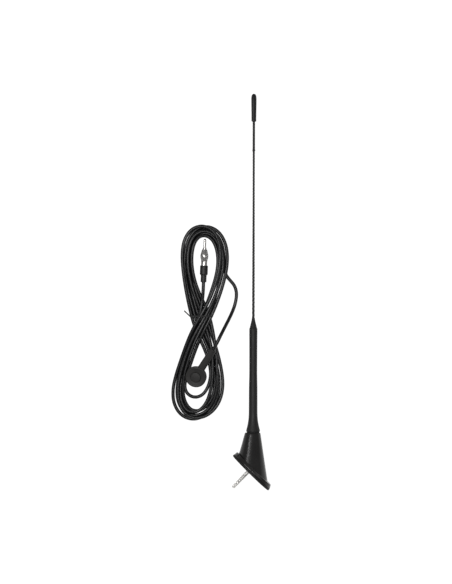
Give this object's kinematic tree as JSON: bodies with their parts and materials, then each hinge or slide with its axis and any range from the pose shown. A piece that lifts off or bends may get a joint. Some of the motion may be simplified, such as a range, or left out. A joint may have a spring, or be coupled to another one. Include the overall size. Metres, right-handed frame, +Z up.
{
  "type": "roof rod antenna",
  "caption": "Car roof rod antenna laid flat: raked oval foot with threaded stud, rubber-sleeved screw-in whip, and a loose coaxial lead in a tied figure-of-eight hank with disc terminal.",
  "frame": {"origin": "centre of the antenna's box (without the loose lead) on the table that it lies on", "axes": "+Y along the mast towards its tip, +Z up from the table, +X towards the toe of the raked foot"},
  "size_m": [0.1185, 0.48, 0.047],
  "materials": {
    "soft_plastic": "moulded, fine texture",
    "fibreglass": "drawn glass fibre rod",
    "copper_wire": "enamelled copper wire",
    "shrink_tube": "shrunk over the winding, satin",
    "coil_former": "moulded coil former",
    "sleeve_rubber": "matte moulded rubber",
    "brass_part": "turned brass",
    "zinc_steel": "zinc plated, bright",
    "seal_rubber": "soft black rubber",
    "foot_plastic": "satin black moulding",
    "inner_plastic": "moulded, as from the tool",
    "terminal_plastic": "matte dark grey moulding",
    "white_insulator": "natural nylon",
    "relief_rubber": "soft matte moulding",
    "cable_jacket": "satin flexible PVC",
    "tie_plastic": "coated wire tie",
    "boot_plastic": "satin black moulding",
    "nickel_plate": "bright nickel plate"
  },
  "bodies": {
    "foot": {"foot_housing": "foot_plastic", "foot_insert": "brass_part", "contact_strip": "brass_part", "base_plate": "inner_plastic", "base_screws": "zinc_steel", "gasket": "seal_rubber", "base_stud": "zinc_steel", "stud_washer": "zinc_steel"},
    "seal": {"mast_seal": "seal_rubber"},
    "mast": {"tip_cap": "soft_plastic", "fibreglass_rod": "fibreglass", "lower_winding": "copper_wire", "upper_winding": "copper_wire", "lower_jacket": "shrink_tube", "upper_jacket": "shrink_tube", "coil_form": "coil_former", "loading_coil": "copper_wire", "mast_sleeve": "sleeve_rubber", "mast_ferrule": "brass_part", "mast_stud": "zinc_steel"},
    "lead": {"terminal_cap": "terminal_plastic", "terminal_insulator": "white_insulator", "terminal_bush": "brass_part", "ground_ring": "zinc_steel", "core_wire": "copper_wire", "strain_relief": "relief_rubber", "lead_tail": "cable_jacket", "cable_hank": "cable_jacket", "plug_tail": "cable_jacket", "cable_tie": "tie_plastic", "plug_boot": "boot_plastic", "crimp_ferrule": "zinc_steel", "plug_barrel": "nickel_plate", "plug_insulator": "white_insulator", "plug_pin": "nickel_plate"}
  },
  "joints": [
    {"name": "mast_rise", "type": "slide", "parent": "foot", "child": "seal", "axis": [0.0035, 0.999, -0.0447], "range_m": [0, 0.0096]},
    {"name": "mast_unscrew", "type": "hinge", "parent": "seal", "child": "mast", "pos_m": [0.00226, -0.17061, 0.02136], "axis": [0.0035, 0.999, -0.0447], "range_deg": [0, 4322]},
    {"name": "lead_lift", "type": "slide", "parent": "foot", "child": "lead", "axis": [0, 0, 1], "range_m": [0, 0.08]}
  ],
  "couplings": [
    {"joint": "mast_unscrew", "follows": "mast_rise", "rad_per_m": 7854}
  ]
}
